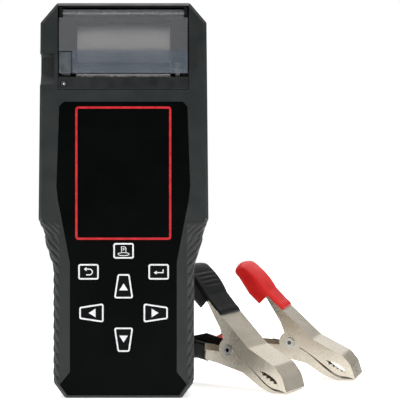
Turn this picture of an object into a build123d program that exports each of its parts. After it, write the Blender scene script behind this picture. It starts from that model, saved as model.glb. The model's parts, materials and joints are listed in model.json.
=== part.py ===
from build123d import *
from math import atan2, cos, degrees, hypot, pi, radians, sin
import os

# Battery tester with a built-in receipt printer, standing on its bottom end, and its two clamps.
# Millimetres. X to the right, Y to the back, Z up; the origin is the centre of the bottom end.

# ---------------------------------------------------------------- tester body
height = 241.5
bottom_half = 35.75
waist_half = 42.5
shoulder_half = 52.0
head_half = 50.8
top_half = 40.5
bottom_chamfer_z = 9.0
waist_top_z = 80.0
shoulder_z = 109.5
top_chamfer = 12.0
waist_radius = 14.0
shoulder_radius = 2.5
corner_radius = 2.0
front_y = -16.0
waist_back_y = 16.0
head_back_y = 34.0
back_slope_z = 86.0
back_slope_rise = 22.0
back_round = 3.5
rim_depth = 2.4
rim_angle = 38.0
side_wall = 2.5
front_wall = 2.2
split_y = 2.0
boss_radius = 3.0
boss_screw_radius = 1.4
boss_gap = 0.05
screw_sink = 5.0
screw_head_radius = 2.7
screw_head_height = 2.0
lid_gap = 0.1

# ---------------------------------------------------------------- overlay, display, keys
overlay_thickness = 0.8
overlay_gap = 0.15
overlay_top_z = 180.9
overlay_top_half = 36.2
overlay_corner = 2.8
overlay_side_half = 40.7
overlay_hip_z = 129.9
overlay_neck_half = 32.5
overlay_neck_z = 83.0
overlay_flare_z = 15.9
overlay_foot_half = 38.6
overlay_foot_z = 8.5
overlay_bottom_half = 34.0
overlay_bottom_z = 1.8
display_half = 29.3
display_low_z = 96.7
display_high_z = 178.1
display_wall = 1.5
display_thickness = 3.9
key_proud = 0.4
key_travel = 0.5
key_gap = 0.25
key_lip = 0.8
key_lip_thickness = 0.9
key_corner = 1.6
key_stem_radius = 1.5
stem_fit = 0.1
stem_reach = 2.1
stem_grip = 1.3
stem_spare = 0.2
pad_x = 0.2
pad_z = 52.1
arrow_inner_half = 6.1
arrow_outer_half = 3.8
arrow_length = 15.2
arrow_offset_z = 8.7
arrow_offset_x = 12.0
small_key_width = 12.9
small_key_height = 9.9
small_key_x = 21.4
small_key_z = 77.2
print_key_z = 90.0

# ---------------------------------------------------------------- circuit board
pcb_half = 32.0
pcb_low_z = 15.5
pcb_high_z = 185.0
pcb_thickness = 1.6
pcb_stand = 4.4
post_radius = 2.2
post_x = 29.5
post_zs = (19.5, 91.0, 182.0)
pcb_screw_radius = 0.85
pcb_screw_head = 1.9
switch_size = 6.0
switch_height = 2.6

buzzer_place = (18.0, 58.0)
buzzer_radius = 6.0
buzzer_height = 6.0
buzzer_hole_radius = 1.0
buzzer_hole_depth = 2.0
load_x = -8.0
load_z = 40.0
load_width = 16.0
load_length = 34.0
load_base = 4.0
load_fins = 4
load_fin_height = 5.0

# ---------------------------------------------------------------- grips
grip_inner_x = 38.6
grip_thickness = 1.6
grip_low_z = 9.5
grip_high_z = 108.0
grip_back_y = 13.0
groove_pitch = 7.0
groove_width = 2.6
groove_depth = 0.6
groove_angle = 32.0

# ---------------------------------------------------------------- printer
bay_half = 40.0
bay_low_z = 188.3
bay_high_z = 239.7
bay_gap = 0.3
frame_half = 39.4
frame_front_y = -12.7
frame_low_z = 190.0
frame_high_z = 237.2
flange_half = 41.2
flange_thickness = 1.6
roll_radius = 14.0
roll_platen_gap = 1.4
roll_platen_angle = 52.5
roll_back_wall = 3.0
roll_half = 28.5
roll_gap = 0.3
roll_side_gap = 0.6
core_radius = 6.0
core_wall = 1.4
cover_low_z = 198.4
cover_high_z = 237.2
cover_half = 39.2
cover_top_half = 36.8
cover_step_z = 232.4
cover_edge_y = -15.5
cover_bulge_y = -17.0
cover_thickness = 1.6
hinge_y = -13.4
hinge_z = 235.4
hinge_pin_radius = 1.0
hinge_boss_radius = 1.8
pin_fit = 0.05
hoop_thickness = 1.2
platen_y = -9.5
platen_z = 201.5
platen_radius = 3.5
platen_shaft_radius = 1.2
arm_inner = 29.4
arm_thickness = 1.6
arm_back_y = -7.4
arm_high_z = 206.0
pocket_back_y = -5.2
pocket_high_z = 208.0
pocket_left_x = -31.6
pocket_right_x = 35.4
gear_module = 0.4
platen_teeth = 18
idler_teeth = 26
pinion_teeth = 12
gear_near_x = 31.8
gear_width = 2.5
idler_drop = 35.0
pinion_drop = 25.0
gear_axle_radius = 0.8
motor_radius = 6.0
motor_length = 19.0
motor_right_x = 29.3
bearing_wall_x = 31.3
print_head_front_y = -5.4
print_head_thickness = 2.0
print_head_low_z = 195.5
print_head_high_z = 202.0
print_head_half = 27.0
paper_thickness = 0.12
bar_top_z = 196.2
bar_front_y = -16.0
tear_height = 0.8
tear_half = 29.0
tear_pitch = 1.45
lamp_x = -36.3
lamp_z = 191.9
lamp_radius = 2.1
lever_left_x = -39.2
lever_right_x = -31.7
lever_pivot_y = -11.5
lever_pivot_z = 198.6
lever_high_z = 211.4
lever_thickness = 1.8
lever_front_y = -15.9
lever_hub_radius = 2.0
lever_pin_radius = 0.8
lever_gap = 0.5
thumb_low_z = 191.5
thumb_high_z = 210.3
thumb_inner_x = -42.0
thumb_depth = 8.0
thumb_floor = 2.0

# ---------------------------------------------------------------- lead socket
socket_radius = 8.0
socket_gap = 0.1
socket_flange_radius = 9.5
socket_flange = 1.6
socket_height = 14.0
socket_inset = 0.4
socket_bore_radius = 5.5
socket_bore_depth = 11.0

# ---------------------------------------------------------------- clamps
# Each clamp lies in its own plane: u runs from the rivet to the jaw tip, v to the upper half.
clamp_width = 20.0
sheet = 1.2
nest_gap = 0.3
tip_u = 50.0
tip_gap = 0.3
handle_u = -52.0
handle_v = 30.0
lower_handle_u = -44.0
lower_handle_v = 27.2
handle_edge = 3.6
ear_radius = 7.5
rivet_radius = 2.0
rivet_head_radius = 3.4
rivet_head = 0.8
rivet_bore_radius = 1.3
rivet_fit = 0.08
grip_wall = 1.1
grip_clear = 0.1
grip_skirt_u = -27.6
grip_end_u = -14.5
bend_radius = 8.0
window_teeth = 5
window_pitch = 3.2
window_start_u = 43.0
window_low_v = 0.3
window_tooth_v = 1.7
window_end_v = 1.5
window_arch = ((29.5, 2.7), (33.5, 3.4), (38.0, 3.5), (41.2, 2.6))
coil_radius = 3.6
coil_wire = 0.6
coil_turns = 6
coil_leg = 15.0
black_pivot = (71.2, 29.8, 25.9)
black_u = (0.700, -0.531, -0.478)
black_side = (-0.640, -0.763, -0.089)
red_pivot = (111.2, 80.8, 25.6)
red_u = (0.840, -0.280, -0.465)
red_side = (-0.367, -0.924, -0.107)

print_head_middle_y = print_head_front_y + print_head_thickness / 2
print_head_middle_z = (print_head_low_z + print_head_high_z) / 2
switch_bore_depth = stem_grip + key_travel + stem_spare
roll_away = platen_radius + roll_platen_gap + roll_radius
roll_y = platen_y + roll_away * cos(radians(roll_platen_angle))
roll_z = platen_z + roll_away * sin(radians(roll_platen_angle))
frame_back_y = roll_y + roll_radius + roll_back_wall
wall_y = front_y + overlay_thickness + front_wall
rim_y = front_y + rim_depth
pcb_y = wall_y + pcb_stand
os.makedirs("parts", exist_ok=True)


def save(name, made):
    made.part.label = name
    export_step(made.part, f"parts/{name}.step")


def facing(y):
    """A drawing plane seen from the front: sketch X is X, sketch Y is Z; minus extrudes go back."""
    return Plane.XZ.offset(-y)


def across(x):
    """A drawing plane seen from the right side: sketch X is Y, sketch Y is Z; extrudes go right."""
    return Plane.YZ.offset(x)


def both_sides(points):
    """A closed outline from the points of its right half, bottom to top."""
    return points + [(-x, z) for x, z in reversed(points)]


def ribbon(points, low, high):
    """A strip along a line of points, between two distances to its left."""
    sides = []
    for away in (low, high):
        side = []
        for i, (x, y) in enumerate(points):
            before = points[max(i - 1, 0)]
            after = points[min(i + 1, len(points) - 1)]
            first = atan2(y - before[1], x - before[0]) if i else None
            last = atan2(after[1] - y, after[0] - x) if i < len(points) - 1 else None
            first = last if first is None else first
            last = first if last is None else last
            reach = away / cos((last - first) / 2)
            turn = (first + last) / 2 + pi / 2
            side.append((x + reach * cos(turn), y + reach * sin(turn)))
        sides.append(side)
    return sides[0] + sides[1][::-1]


def body_outline(y, inset=0):
    """The tester's outline as seen from the front, drawn on the plane at y."""
    half = [
        (bottom_half, 0),
        (waist_half, bottom_chamfer_z),
        (waist_half, waist_top_z),
        (shoulder_half, shoulder_z),
        (head_half, height - top_chamfer),
        (top_half, height),
    ]
    with BuildSketch(facing(y)) as outline:
        with BuildLine():
            Polyline(*both_sides(half), close=True)
        make_face()
        ends = outline.vertices().filter_by(lambda v: not waist_top_z <= v.Y <= shoulder_z)
        fillet(ends, corner_radius)
        shoulders = outline.vertices().filter_by(lambda v: abs(v.Y - shoulder_z) < 1e-3)
        fillet(shoulders, shoulder_radius)
        waists = outline.vertices().filter_by(lambda v: abs(v.Y - waist_top_z) < 1e-3)
        fillet(waists, waist_radius)
        if inset:
            offset(amount=-inset, kind=Kind.INTERSECTION)
    return outline.sketch


def back_relief(inset=0):
    """What the side profile takes off behind the waist."""
    low = waist_back_y - inset
    high = head_back_y + 20
    with BuildSketch(across(-shoulder_half - 10)) as profile:
        with BuildLine():
            Polyline(
                (low, -10),
                (low, back_slope_z),
                (head_back_y - inset, back_slope_z + back_slope_rise),
                (high, back_slope_z + back_slope_rise),
                (high, -10),
                close=True,
            )
        make_face()
    return profile.sketch


def key_outlines():
    """Each key's name, with the corners of its cap."""
    x = small_key_width / 2
    z = small_key_height / 2
    box = [(-x, -z), (x, -z), (x, z), (-x, z)]
    caps = {
        "print_key": [(pad_x + a, print_key_z + b) for a, b in box],
        "back_key": [(pad_x - small_key_x + a, small_key_z + b) for a, b in box],
        "enter_key": [(pad_x + small_key_x + a, small_key_z + b) for a, b in box],
    }
    wedge = [
        (-arrow_inner_half, 0),
        (arrow_inner_half, 0),
        (arrow_outer_half, arrow_length),
        (-arrow_outer_half, arrow_length),
    ]
    caps["up_key"] = [(pad_x + a, pad_z + arrow_offset_z + b) for a, b in wedge]
    caps["down_key"] = [(pad_x + a, pad_z - arrow_offset_z - b) for a, b in wedge]
    caps["right_key"] = [(pad_x + arrow_offset_x + b, pad_z + a) for a, b in wedge]
    caps["left_key"] = [(pad_x - arrow_offset_x - b, pad_z + a) for a, b in wedge]
    return caps


keys = key_outlines()
key_centres = {}
for name, corners in keys.items():
    key_centres[name] = (
        sum(x for x, z in corners) / len(corners),
        sum(z for x, z in corners) / len(corners),
    )


def key_face(name, y, grow=0.0):
    """A key's rounded cap outline, grown all round."""
    with BuildSketch(facing(y)) as cap:
        with BuildLine():
            Polyline(*keys[name], close=True)
        make_face()
        fillet(cap.vertices(), key_corner)
        if grow:
            offset(amount=grow)
    return cap.sketch


def overlay_face(y, grow=0.0):
    """The outline of the glossy front overlay."""
    half = [
        (overlay_bottom_half, overlay_bottom_z),
        (overlay_foot_half, overlay_foot_z),
        (overlay_neck_half, overlay_flare_z),
        (overlay_neck_half, overlay_neck_z),
        (overlay_neck_half + 4.3, overlay_neck_z + 22.5),
        (overlay_side_half - 0.9, overlay_hip_z - 9.1),
        (overlay_side_half, overlay_hip_z),
        (overlay_top_half + overlay_corner, overlay_top_z - overlay_corner),
        (overlay_top_half, overlay_top_z),
    ]
    with BuildSketch(facing(y)) as face:
        with BuildLine():
            Polyline(*both_sides(half), close=True)
        make_face()
        if grow:
            offset(amount=grow, kind=Kind.INTERSECTION)
    return face.sketch


screw_places = [
    (side * x, z) for x, z in ((36.0, 16.0), (44.5, 118.0), (44.5, 226.0)) for side in (-1, 1)
]
post_places = [(side * post_x, z) for z in post_zs for side in (-1, 1)]


def grip_blank(side):
    """The space that a side grip fills in the case."""
    with BuildPart() as blank:
        extrude(body_outline(rim_y), amount=rim_depth, taper=rim_angle)
        extrude(body_outline(rim_y), amount=-(grip_back_y - rim_y))
        core_y = front_y + grip_thickness
        extrude(
            body_outline(core_y, grip_thickness),
            amount=-(grip_back_y - core_y),
            mode=Mode.SUBTRACT,
        )
        reach = shoulder_half + 5 - grip_inner_x
        middle = (side * (grip_inner_x + reach / 2), (grip_low_z + grip_high_z) / 2)
        with BuildSketch(facing(front_y - 1)):
            with Locations(middle):
                Rectangle(reach, grip_high_z - grip_low_z)
        extrude(amount=-(grip_back_y - front_y + 1), mode=Mode.INTERSECT)
    return blank.part


# ---------------------------------------------------------------- case shells
grip_blanks = {side: grip_blank(side) for side in (-1, 1)}

with BuildPart() as front_case:
    extrude(body_outline(rim_y), amount=rim_depth, taper=rim_angle)
    extrude(body_outline(rim_y), amount=-(split_y - rim_y))
    extrude(body_outline(wall_y, side_wall), amount=-(split_y - wall_y), mode=Mode.SUBTRACT)
    # The block behind the thumb recess, then the bosses and posts.
    with BuildSketch(across(-head_half + 0.5)):
        with Locations((front_y + (thumb_depth + thumb_floor) / 2 + 1, (thumb_low_z + thumb_high_z) / 2)):
            Rectangle(thumb_depth + thumb_floor - 2, thumb_high_z - thumb_low_z + 2 * thumb_floor)
    extrude(amount=thumb_inner_x + head_half)
    with BuildSketch(facing(wall_y - 0.5)):
        with Locations(*screw_places):
            Circle(boss_radius)
    extrude(amount=-(split_y - wall_y + 0.5))
    with BuildSketch(facing(wall_y - 0.5)):
        with Locations(*post_places):
            Circle(post_radius)
    extrude(amount=-(pcb_y - wall_y + 0.5))
    # Recess of the overlay, window, key holes and the printer bay.
    extrude(overlay_face(front_y, overlay_gap), amount=-overlay_thickness, mode=Mode.SUBTRACT)
    with BuildSketch(facing(front_y)):
        with Locations((0, (display_low_z + display_high_z) / 2)):
            Rectangle(
                2 * (display_half - display_wall),
                display_high_z - display_low_z - 2 * display_wall,
            )
        with Locations((0, (bay_low_z + bay_high_z) / 2)):
            Rectangle(2 * bay_half, bay_high_z - bay_low_z)
    extrude(amount=-(wall_y - front_y), mode=Mode.SUBTRACT)
    for name in keys:
        extrude(key_face(name, front_y, key_gap), amount=-(wall_y - front_y), mode=Mode.SUBTRACT)
    # Thumb recess in the left side, beside the release lever.
    with BuildSketch(across(-shoulder_half - 5)):
        with BuildLine():
            Polyline(
                (front_y - 1, thumb_low_z),
                (front_y + 0.6 * thumb_depth, thumb_low_z),
                (front_y + thumb_depth, thumb_low_z + 0.35 * (thumb_high_z - thumb_low_z)),
                (front_y + thumb_depth, thumb_high_z - 2),
                (front_y + thumb_depth - 2, thumb_high_z),
                (front_y - 1, thumb_high_z),
                close=True,
            )
        make_face()
    extrude(amount=shoulder_half + 5 + thumb_inner_x, mode=Mode.SUBTRACT)
    for blank in grip_blanks.values():
        add(blank, mode=Mode.SUBTRACT)
    with BuildSketch(facing(wall_y + 2)):
        with Locations(*screw_places):
            Circle(boss_screw_radius + boss_gap)
    extrude(amount=-(split_y - wall_y), mode=Mode.SUBTRACT)
    with BuildSketch(facing(wall_y + 0.5)):
        with Locations(*post_places):
            Circle(pcb_screw_radius + boss_gap)
    extrude(amount=-pcb_stand, mode=Mode.SUBTRACT)
    with BuildSketch(Plane.XY.offset(-1)):
        Circle(socket_radius + socket_gap)
    extrude(amount=side_wall + 1.5, mode=Mode.SUBTRACT)
save("front_case", front_case)

with BuildPart() as back_cavity:
    extrude(
        body_outline(split_y, side_wall),
        amount=-(head_back_y - side_wall - split_y),
    )
    extrude(back_relief(side_wall), amount=2 * shoulder_half + 20, mode=Mode.SUBTRACT)

screw_seat_y = {16.0: waist_back_y, 118.0: head_back_y, 226.0: head_back_y}

with BuildPart() as back_case:
    extrude(body_outline(split_y), amount=-(head_back_y - back_round - split_y))
    extrude(
        body_outline(head_back_y - back_round),
        amount=-back_round,
        taper=rim_angle,
    )
    extrude(back_relief(), amount=2 * shoulder_half + 20, mode=Mode.SUBTRACT)
    add(back_cavity.part, mode=Mode.SUBTRACT)
    for x, z in screw_places:
        with BuildSketch(facing(split_y)):
            with Locations((x, z)):
                Circle(boss_radius)
        extrude(amount=-(screw_seat_y[z] - side_wall / 2 - split_y))
    for x, z in screw_places:
        with BuildSketch(facing(split_y)):
            with Locations((x, z)):
                Circle(boss_screw_radius + boss_gap)
        extrude(amount=-(head_back_y - split_y + 1), mode=Mode.SUBTRACT)
        with BuildSketch(facing(screw_seat_y[z] - screw_sink)):
            with Locations((x, z)):
                Circle(screw_head_radius + lid_gap)
        extrude(amount=-(screw_sink + 1), mode=Mode.SUBTRACT)
    for blank in grip_blanks.values():
        add(blank, mode=Mode.SUBTRACT)
    with BuildSketch(Plane.XY.offset(-1)):
        Circle(socket_radius + socket_gap)
    extrude(amount=side_wall + 1.5, mode=Mode.SUBTRACT)
save("back_case", back_case)

with BuildPart() as case_screws:
    for x, z in screw_places:
        seat = screw_seat_y[z] - screw_sink
        with BuildSketch(facing(seat + screw_head_height)):
            with Locations((x, z)):
                Circle(screw_head_radius)
        extrude(amount=screw_head_height)
        with BuildSketch(facing(seat)):
            with Locations((x, z)):
                Circle(boss_screw_radius)
        extrude(amount=seat - (wall_y + 3))
        with BuildSketch(facing(seat + screw_head_height)):
            with Locations((x, z)):
                Rectangle(3.0, 0.8)
                Rectangle(0.8, 3.0)
        extrude(amount=1.2, mode=Mode.SUBTRACT)
save("case_screws", case_screws)

# ---------------------------------------------------------------- side grips
for side, name in ((-1, "left_grip"), (1, "right_grip")):
    with BuildPart() as grooves:
        count = int((grip_high_z - grip_low_z) / groove_pitch) + 1
        for i in range(count):
            low = grip_low_z + i * groove_pitch
            with BuildSketch(facing(front_y - 1)):
                with Locations(Location((side * waist_half, low), side * groove_angle)):
                    Rectangle(30, groove_width)
            extrude(amount=-(grip_back_y - front_y - 1))
        core_y = front_y + groove_depth
        extrude(
            body_outline(core_y, groove_depth),
            amount=-(grip_back_y - core_y + 5),
            mode=Mode.SUBTRACT,
        )
    with BuildPart() as grip:
        add(grip_blanks[side])
        add(grooves.part, mode=Mode.SUBTRACT)
    save(name, grip)

# ---------------------------------------------------------------- overlay, keys, display
with BuildPart() as front_overlay:
    extrude(overlay_face(front_y), amount=-overlay_thickness)
    for name in keys:
        extrude(key_face(name, front_y, key_gap), amount=-overlay_thickness, mode=Mode.SUBTRACT)
save("front_overlay", front_overlay)

for name, centre in key_centres.items():
    lip_y = wall_y + lid_gap
    with BuildPart() as key:
        cap_depth = lip_y + key_lip_thickness - front_y + key_proud
        extrude(key_face(name, front_y - key_proud), amount=-cap_depth)
        extrude(key_face(name, lip_y, key_lip), amount=-key_lip_thickness)
        with BuildSketch(facing(lip_y + key_lip_thickness)):
            with Locations(centre):
                Circle(key_stem_radius)
        extrude(amount=-stem_reach)
    save(name, key)

with BuildPart() as lcd_module:
    with BuildSketch(facing(wall_y + lid_gap)):
        with Locations((0, (display_low_z + display_high_z) / 2)):
            Rectangle(2 * display_half + 1.6, display_high_z - display_low_z - 0.4)
    extrude(amount=-display_thickness)
save("lcd_module", lcd_module)

with BuildPart() as key_switches:
    with BuildSketch(facing(pcb_y)):
        with Locations(*key_centres.values()):
            Rectangle(switch_size, switch_size)
    extrude(amount=switch_height)
    with BuildSketch(facing(pcb_y - switch_height)):
        with Locations(*key_centres.values()):
            Circle(key_stem_radius + stem_fit)
    extrude(amount=-switch_bore_depth, mode=Mode.SUBTRACT)
save("key_switches", key_switches)

with BuildPart() as main_pcb:
    with BuildSketch(facing(pcb_y)):
        with Locations((0, (pcb_low_z + pcb_high_z) / 2)):
            Rectangle(2 * pcb_half, pcb_high_z - pcb_low_z)
        with Locations(*post_places):
            Circle(pcb_screw_radius + 2 * lid_gap, mode=Mode.SUBTRACT)
    extrude(amount=-pcb_thickness)
save("main_pcb", main_pcb)

pcb_back_y = pcb_y + pcb_thickness
with BuildPart() as pcb_screws:
    with BuildSketch(facing(pcb_back_y + 1.2)):
        with Locations(*post_places):
            Circle(pcb_screw_head)
    extrude(amount=1.2)
    with BuildSketch(facing(pcb_back_y)):
        with Locations(*post_places):
            Circle(pcb_screw_radius)
    extrude(amount=pcb_thickness + pcb_stand - 1.5)
save("pcb_screws", pcb_screws)

with BuildPart() as buzzer:
    with BuildSketch(facing(pcb_back_y)):
        with Locations(buzzer_place):
            Circle(buzzer_radius)
    extrude(amount=-buzzer_height)
    with BuildSketch(facing(pcb_back_y + buzzer_height)):
        with Locations(buzzer_place):
            Circle(buzzer_hole_radius)
    extrude(amount=buzzer_hole_depth, mode=Mode.SUBTRACT)
save("buzzer", buzzer)

with BuildPart() as load_resistor:
    with BuildSketch(facing(pcb_back_y)):
        with Locations((load_x, load_z)):
            Rectangle(load_width, load_length)
    extrude(amount=-load_base)
    fin_pitch = load_width / load_fins
    fin_xs = [load_x + (i - (load_fins - 1) / 2) * fin_pitch for i in range(load_fins)]
    with BuildSketch(facing(pcb_back_y + load_base)):
        with Locations(*[(x, load_z) for x in fin_xs]):
            Rectangle(fin_pitch / 2, load_length)
    extrude(amount=-load_fin_height)
save("load_resistor", load_resistor)

# ---------------------------------------------------------------- lead socket
with BuildPart() as lead_socket:
    with BuildSketch(Plane.XY.offset(socket_inset)):
        Circle(socket_radius)
    extrude(amount=socket_height)
    with BuildSketch(Plane.XY.offset(side_wall + lid_gap)):
        Circle(socket_flange_radius)
    extrude(amount=socket_flange)
    with BuildSketch(Plane.XY.offset(socket_inset)):
        Circle(socket_bore_radius)
    extrude(amount=socket_bore_depth, mode=Mode.SUBTRACT)
save("lead_socket", lead_socket)

# ---------------------------------------------------------------- printer
cheek_x = roll_half + roll_side_gap
idler_radius = gear_module * idler_teeth / 2
pinion_radius = gear_module * pinion_teeth / 2
platen_gear_radius = gear_module * platen_teeth / 2
platen_to_idler = platen_gear_radius + idler_radius
idler_to_pinion = idler_radius + pinion_radius
idler_y = platen_y + platen_to_idler * cos(radians(idler_drop))
idler_z = platen_z - platen_to_idler * sin(radians(idler_drop))
pinion_y = idler_y + idler_to_pinion * cos(radians(pinion_drop))
pinion_z = idler_z - idler_to_pinion * sin(radians(pinion_drop))


def gear_face(x, centre, teeth, phase, bore):
    """A spur gear's face with straight flanks; phase is the direction of a tooth, in degrees."""
    pitch_radius = gear_module * teeth / 2
    root = pitch_radius - 1.1 * gear_module
    tip = pitch_radius + 0.8 * gear_module
    pitch = 360 / teeth
    points = []
    for i in range(teeth):
        for radius, share in ((root, -0.32), (tip, -0.12), (tip, 0.12), (root, 0.32)):
            turn = radians(phase + (i + share) * pitch)
            points.append((centre[0] + radius * cos(turn), centre[1] + radius * sin(turn)))
    with BuildSketch(across(x)) as face:
        with BuildLine():
            Polyline(*points, close=True)
        make_face()
        with Locations(centre):
            Circle(bore, mode=Mode.SUBTRACT)
    return face.sketch


with BuildPart() as printer_frame:
    with BuildSketch(facing(frame_front_y)):
        with Locations((0, (frame_low_z + frame_high_z) / 2)):
            Rectangle(2 * frame_half, frame_high_z - frame_low_z)
    extrude(amount=-(frame_back_y - frame_front_y))
    with BuildSketch(facing(frame_front_y)):
        with Locations((0, (frame_low_z + frame_high_z) / 2)):
            Rectangle(2 * flange_half, frame_high_z - frame_low_z - 8)
    extrude(amount=-flange_thickness)
    # The hoop round the top of the cover, whose legs carry the hinge pin.
    hoop_top = frame_high_z + hoop_thickness + 0.6
    hoop_middle = (0, (hinge_z - 2.4 + hoop_top) / 2)
    with BuildSketch(facing(cover_edge_y - 0.2)):
        with Locations(hoop_middle):
            Rectangle(2 * frame_half - 0.6, hoop_top - hinge_z + 2.4)
        with Locations((0, hoop_middle[1] - hoop_thickness)):
            Rectangle(2 * (cover_top_half + bay_gap), hoop_top - hinge_z + 2.4, mode=Mode.SUBTRACT)
    extrude(amount=-(frame_front_y - cover_edge_y + 0.2))
    # Trough of the paper roll, open to the front.
    with BuildSketch(across(-cheek_x)):
        with Locations((roll_y, roll_z)):
            Circle(roll_radius + roll_gap)
        with Locations(((frame_front_y - 1 + roll_y) / 2, roll_z)):
            Rectangle(roll_y - frame_front_y + 1, 2 * (roll_radius + roll_gap))
    extrude(amount=2 * cheek_x, mode=Mode.SUBTRACT)
    # Room for the platen with its arms and gear.
    with BuildSketch(across(pocket_left_x)):
        with Locations(((frame_front_y - 1 + pocket_back_y) / 2, (frame_low_z - 1 + pocket_high_z) / 2)):
            Rectangle(pocket_back_y - frame_front_y + 1, pocket_high_z - frame_low_z + 1)
    extrude(amount=pocket_right_x - pocket_left_x, mode=Mode.SUBTRACT)
    # Room for the gear train.
    with BuildSketch(across(bearing_wall_x)):
        with Locations((idler_y, idler_z), (pinion_y, pinion_z), (idler_y - 3, idler_z - 3)):
            Circle(idler_radius + 1.2)
        with Locations((pocket_back_y, (frame_low_z + pocket_high_z) / 2)):
            Rectangle(8, pocket_high_z - frame_low_z + 2)
    extrude(amount=pocket_right_x - bearing_wall_x, mode=Mode.SUBTRACT)
    # Motor bay, shaft hole, idler axle hole and the slot of the print head.
    with BuildSketch(across(motor_right_x - motor_length - 1)):
        with Locations((pinion_y, pinion_z)):
            Circle(motor_radius + lid_gap)
        with Locations((pinion_y, pinion_z - 5)):
            Rectangle(2 * (motor_radius + lid_gap), 10)
    extrude(amount=motor_length + 1, mode=Mode.SUBTRACT)
    with BuildSketch(across(motor_right_x - 1)):
        with Locations((pinion_y, pinion_z)):
            Circle(2 * gear_axle_radius)
        with Locations((idler_y, idler_z)):
            Circle(gear_axle_radius)
    extrude(amount=5, mode=Mode.SUBTRACT)
    with BuildSketch(across(-print_head_half - lid_gap)):
        with Locations((print_head_middle_y, print_head_middle_z + 1)):
            Rectangle(print_head_thickness + 2 * lid_gap, print_head_high_z - print_head_low_z + 2)
    extrude(amount=2 * (print_head_half + lid_gap), mode=Mode.SUBTRACT)
    # Bay of the release lever.
    with BuildSketch(across(lever_left_x + 1.2)):
        with Locations((lever_pivot_y, lever_pivot_z + 2)):
            Rectangle(2 * (lever_hub_radius + lever_gap) + 2, 2 * (lever_hub_radius + lever_gap) + 5)
    extrude(amount=pocket_left_x - lever_left_x, mode=Mode.SUBTRACT)
    with BuildSketch(across(-frame_half)):
        with Locations((lever_pivot_y, lever_pivot_z)):
            Circle(lever_pin_radius)
    extrude(amount=3, mode=Mode.SUBTRACT)
    with BuildSketch(across(-frame_half)):
        with Locations((hinge_y, hinge_z)):
            Circle(hinge_pin_radius)
    extrude(amount=2 * frame_half, mode=Mode.SUBTRACT)
    # Clearance behind the hinge lugs of the cover.
    with BuildSketch(across(-cover_top_half - bay_gap)):
        with Locations((hinge_y, hinge_z)):
            Circle(4.0)
    extrude(amount=2 * (cover_top_half + bay_gap), mode=Mode.SUBTRACT)
save("printer_frame", printer_frame)

with BuildPart() as printer_cover:
    arc_middle = (cover_low_z + cover_high_z) / 2
    with BuildSketch(across(-cover_half)):
        with BuildLine():
            ThreePointArc(
                (cover_edge_y, cover_low_z),
                (cover_bulge_y, arc_middle),
                (cover_edge_y, cover_high_z),
            )
            Line((cover_edge_y, cover_high_z), (cover_edge_y + cover_thickness, cover_high_z))
            ThreePointArc(
                (cover_edge_y + cover_thickness, cover_high_z),
                (cover_bulge_y + cover_thickness, arc_middle),
                (cover_edge_y + cover_thickness, cover_low_z),
            )
            Line((cover_edge_y + cover_thickness, cover_low_z), (cover_edge_y, cover_low_z))
        make_face()
    extrude(amount=2 * cover_half)
    # The top is narrower inside the hoop, and the lower left corner makes way for the lever.
    step_height = cover_high_z - cover_step_z + 2
    lever_cut_x = lever_right_x + lever_gap
    with BuildSketch(facing(cover_bulge_y - 1)):
        for side in (-1, 1):
            with Locations((side * (cover_top_half + 5), cover_step_z + step_height / 2)):
                Rectangle(10, step_height)
        with Locations((lever_cut_x - 10, lever_high_z + lever_gap - 10)):
            Rectangle(20, 20)
    extrude(amount=-10, mode=Mode.SUBTRACT)
    # Hinge lugs.
    for x in (-cover_top_half, cover_top_half - 4):
        with BuildSketch(across(x)):
            with Locations((hinge_y, hinge_z)):
                Circle(hinge_boss_radius)
            with Locations(((hinge_y + cover_edge_y) / 2, hinge_z)):
                Rectangle(hinge_y - cover_edge_y, 2 * hinge_boss_radius)
        extrude(amount=4)
    # Arms that carry the platen.
    for x in (-arm_inner - arm_thickness, arm_inner):
        with BuildSketch(across(x)):
            with Locations(((cover_edge_y + 0.5 + arm_back_y) / 2, (cover_low_z + arm_high_z) / 2 + 0.1)):
                Rectangle(arm_back_y - cover_edge_y - 0.5, arm_high_z - cover_low_z - 0.2)
        extrude(amount=arm_thickness)
    with BuildSketch(across(-cover_half)):
        with Locations((hinge_y, hinge_z)):
            Circle(hinge_pin_radius + pin_fit)
    extrude(amount=2 * cover_half, mode=Mode.SUBTRACT)
    with BuildSketch(across(-cover_half)):
        with Locations((platen_y, platen_z)):
            Circle(platen_shaft_radius + pin_fit)
    extrude(amount=2 * cover_half, mode=Mode.SUBTRACT)
save("printer_cover", printer_cover)

with BuildPart() as cover_pin:
    with BuildSketch(across(-frame_half + 0.3)):
        with Locations((hinge_y, hinge_z)):
            Circle(hinge_pin_radius)
    extrude(amount=2 * frame_half - 0.6)
save("cover_pin", cover_pin)

with BuildPart() as platen_roller:
    with BuildSketch(across(-roll_half)):
        with Locations((platen_y, platen_z)):
            Circle(platen_radius)
            Circle(platen_shaft_radius, mode=Mode.SUBTRACT)
    extrude(amount=2 * roll_half)
save("platen_roller", platen_roller)

with BuildPart() as platen_shaft:
    with BuildSketch(across(-arm_inner - arm_thickness)):
        with Locations((platen_y, platen_z)):
            Circle(platen_shaft_radius)
    extrude(amount=arm_inner + arm_thickness + gear_near_x + gear_width + 0.3)
save("platen_shaft", platen_shaft)

with BuildPart() as platen_gear:
    extrude(
        gear_face(gear_near_x, (platen_y, platen_z), platen_teeth, -idler_drop, platen_shaft_radius),
        amount=gear_width,
    )
save("platen_gear", platen_gear)

idler_phase = 180 - idler_drop + 180 / idler_teeth
with BuildPart() as idler_gear:
    extrude(
        gear_face(gear_near_x, (idler_y, idler_z), idler_teeth, idler_phase, gear_axle_radius + pin_fit),
        amount=gear_width,
    )
save("idler_gear", idler_gear)

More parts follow.
